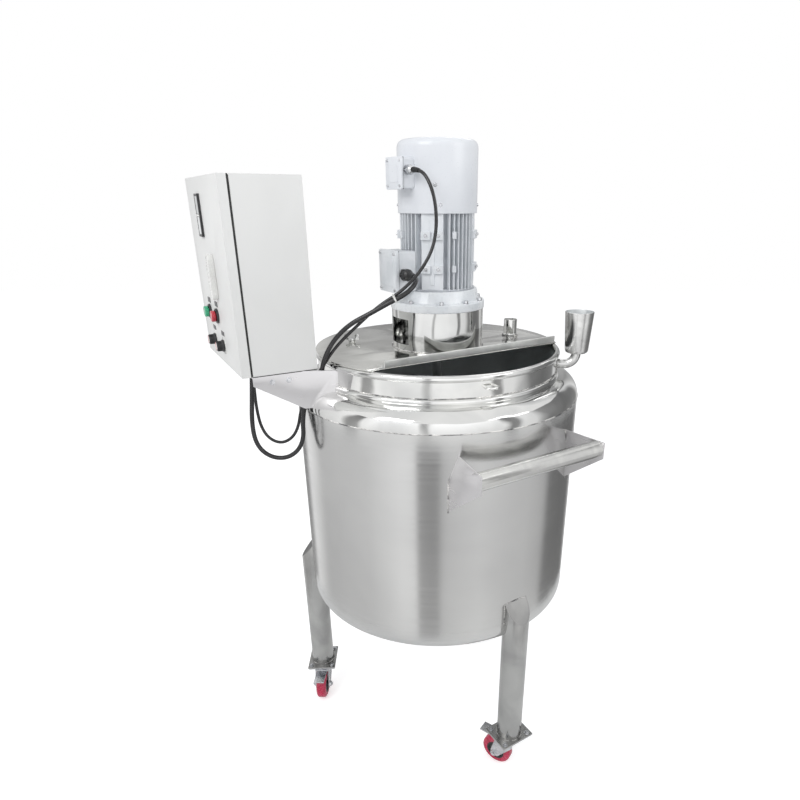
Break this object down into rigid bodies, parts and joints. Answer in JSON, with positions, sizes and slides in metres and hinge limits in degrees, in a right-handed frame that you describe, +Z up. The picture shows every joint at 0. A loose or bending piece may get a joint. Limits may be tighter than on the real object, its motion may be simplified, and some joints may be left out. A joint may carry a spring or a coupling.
{
  "type": "liquid detergent mixer",
  "caption": "Mobile jacketed stainless mixing tank with a vertical motor on a half lid, agitator, filling cup, push bar, side control cabinet and braked casters.",
  "frame": {"origin": "on the floor under the middle of the whole machine's footprint box; the tank's axis stands a little to +X and +Y of it", "axes": "+Z up along the tank's axis, -Y towards the picture's viewer, +X to that viewer's right; the push bar faces 32.5 degrees from -Y towards +X"},
  "size_m": [0.9264, 0.8247, 1.52],
  "materials": {
    "polished_steel": "mirror polished stainless steel",
    "brushed_steel": "vertically brushed stainless steel",
    "sheet_steel": "bright folded stainless sheet",
    "zinc_steel": "bright zinc plate",
    "flange_paint": "gloss pale paint on cast metal",
    "motor_paint": "satin pale blue-grey paint on cast metal",
    "cowl_paint": "satin pale blue-grey paint on sheet metal",
    "cabinet_paint": "fine textured light grey powder coat",
    "black_plastic": "matt black",
    "white_plastic": "satin white",
    "green_plastic": "gloss green",
    "red_plastic": "gloss red",
    "black_rubber": "matt black foam rubber",
    "cable_rubber": "satin black sheath",
    "red_tread": "gloss red polyurethane"
  },
  "bodies": {
    "tank": {"inner_tank": "polished_steel", "rim_ring": "polished_steel", "jacket_shell": "brushed_steel", "jacket_shoulder": "polished_steel", "jacket_bottom": "brushed_steel", "outlet_pipe": "polished_steel", "fixed_lid": "polished_steel", "lid_edge_bar": "polished_steel", "lid_clamp": "polished_steel", "lid_nozzle": "polished_steel", "latch_staple": "polished_steel", "feed_cup": "polished_steel", "feed_elbow": "polished_steel", "drive_pedestal": "polished_steel", "motor_flange": "flange_paint", "motor_frame": "motor_paint", "fan_cowl": "cowl_paint", "terminal_box": "motor_paint", "fan_terminal_box": "cowl_paint", "motor_gland": "black_plastic", "fan_gland": "black_plastic", "handle_tube": "brushed_steel", "handle_bracket_left": "brushed_steel", "handle_bracket_right": "brushed_steel", "cabinet_body": "cabinet_paint", "door_gasket": "black_rubber", "cabinet_bracket": "sheet_steel", "motor_cable_inlet": "black_plastic", "fan_cable_inlet": "black_plastic", "motor_cable": "cable_rubber", "fan_cable": "cable_rubber", "leg_1": "brushed_steel", "caster_plate_1": "zinc_steel", "leg_2": "brushed_steel", "caster_plate_2": "zinc_steel", "leg_3": "brushed_steel", "caster_plate_3": "zinc_steel"},
    "agitator": {"agitator_shaft": "polished_steel", "shaft_coupling": "polished_steel", "impeller": "polished_steel"},
    "door": {"cabinet_door": "cabinet_paint", "meter": "black_plastic"},
    "lock": {"lock_handle": "white_plastic"},
    "start": {"start_button": "green_plastic"},
    "stop": {"stop_button": "red_plastic"},
    "speed": {"speed_knob": "black_plastic"},
    "mode": {"mode_knob": "black_plastic"},
    "swivel_1": {"caster_fork_1": "zinc_steel"},
    "wheel_1": {"caster_tread_1": "red_tread", "caster_hub_1": "zinc_steel"},
    "brake_1": {"brake_pedal_1": "zinc_steel"},
    "swivel_2": {"caster_fork_2": "zinc_steel"},
    "wheel_2": {"caster_tread_2": "red_tread", "caster_hub_2": "zinc_steel"},
    "brake_2": {"brake_pedal_2": "zinc_steel"},
    "swivel_3": {"caster_fork_3": "zinc_steel"},
    "wheel_3": {"caster_tread_3": "red_tread", "caster_hub_3": "zinc_steel"},
    "brake_3": {"brake_pedal_3": "zinc_steel"}
  },
  "joints": [
    {"name": "agitator_spin", "type": "hinge", "parent": "tank", "child": "agitator", "pos_m": [0.10028, 0.03524, 0.56], "axis": [0, 0, 1], "continuous": true},
    {"name": "door_swing", "type": "hinge", "parent": "tank", "child": "door", "pos_m": [-0.44679, 0.06043, 1.065], "axis": [0, 0, -1], "range_deg": [0, 120]},
    {"name": "lock_turn", "type": "hinge", "parent": "door", "child": "lock", "pos_m": [-0.36722, -0.11938, 1.252], "axis": [0.866, 0.5, 0], "range_deg": [0, 90]},
    {"name": "start_press", "type": "slide", "parent": "door", "child": "start", "axis": [0.866, 0.5, 0], "range_m": [0, 0.004], "stiffness_N_per_m": 400},
    {"name": "stop_press", "type": "slide", "parent": "door", "child": "stop", "axis": [0.866, 0.5, 0], "range_m": [0, 0.004], "stiffness_N_per_m": 400},
    {"name": "speed_turn", "type": "hinge", "parent": "door", "child": "speed", "pos_m": [-0.41022, -0.0449, 1.107], "axis": [0.866, 0.5, 0], "range_deg": [-135, 135]},
    {"name": "mode_turn", "type": "hinge", "parent": "door", "child": "mode", "pos_m": [-0.36772, -0.11851, 1.107], "axis": [0.866, 0.5, 0], "range_deg": [-45, 45]},
    {"name": "swivel_1", "type": "hinge", "parent": "tank", "child": "swivel_1", "pos_m": [0.28833, -0.25994, 0.112], "axis": [0, 0, 1], "continuous": true},
    {"name": "roll_1", "type": "hinge", "parent": "swivel_1", "child": "wheel_1", "pos_m": [0.26346, -0.24317, 0.04], "axis": [-0.5592, -0.829, 0], "continuous": true},
    {"name": "brake_1", "type": "hinge", "parent": "swivel_1", "child": "brake_1", "pos_m": [0.26595, -0.24485, 0.088], "axis": [-0.5592, -0.829, 0], "range_deg": [0, 14]},
    {"name": "swivel_2", "type": "hinge", "parent": "tank", "child": "swivel_2", "pos_m": [-0.24939, 0.01998, 0.112], "axis": [0, 0, 1], "continuous": true},
    {"name": "roll_2", "type": "hinge", "parent": "swivel_2", "child": "wheel_2", "pos_m": [-0.25044, -0.01, 0.04], "axis": [0.9994, -0.0349, 0], "continuous": true},
    {"name": "brake_2", "type": "hinge", "parent": "swivel_2", "child": "brake_2", "pos_m": [-0.25033, -0.00701, 0.088], "axis": [0.9994, -0.0349, 0], "range_deg": [0, 14]},
    {"name": "swivel_3", "type": "hinge", "parent": "tank", "child": "swivel_3", "pos_m": [0.26189, 0.3457, 0.112], "axis": [0, 0, 1], "continuous": true},
    {"name": "roll_3", "type": "hinge", "parent": "swivel_3", "child": "wheel_3", "pos_m": [0.27689, 0.37168, 0.04], "axis": [-0.866, 0.5, 0], "continuous": true},
    {"name": "brake_3", "type": "hinge", "parent": "swivel_3", "child": "brake_3", "pos_m": [0.27539, 0.36908, 0.088], "axis": [-0.866, 0.5, 0], "range_deg": [0, 14]}
  ]
}
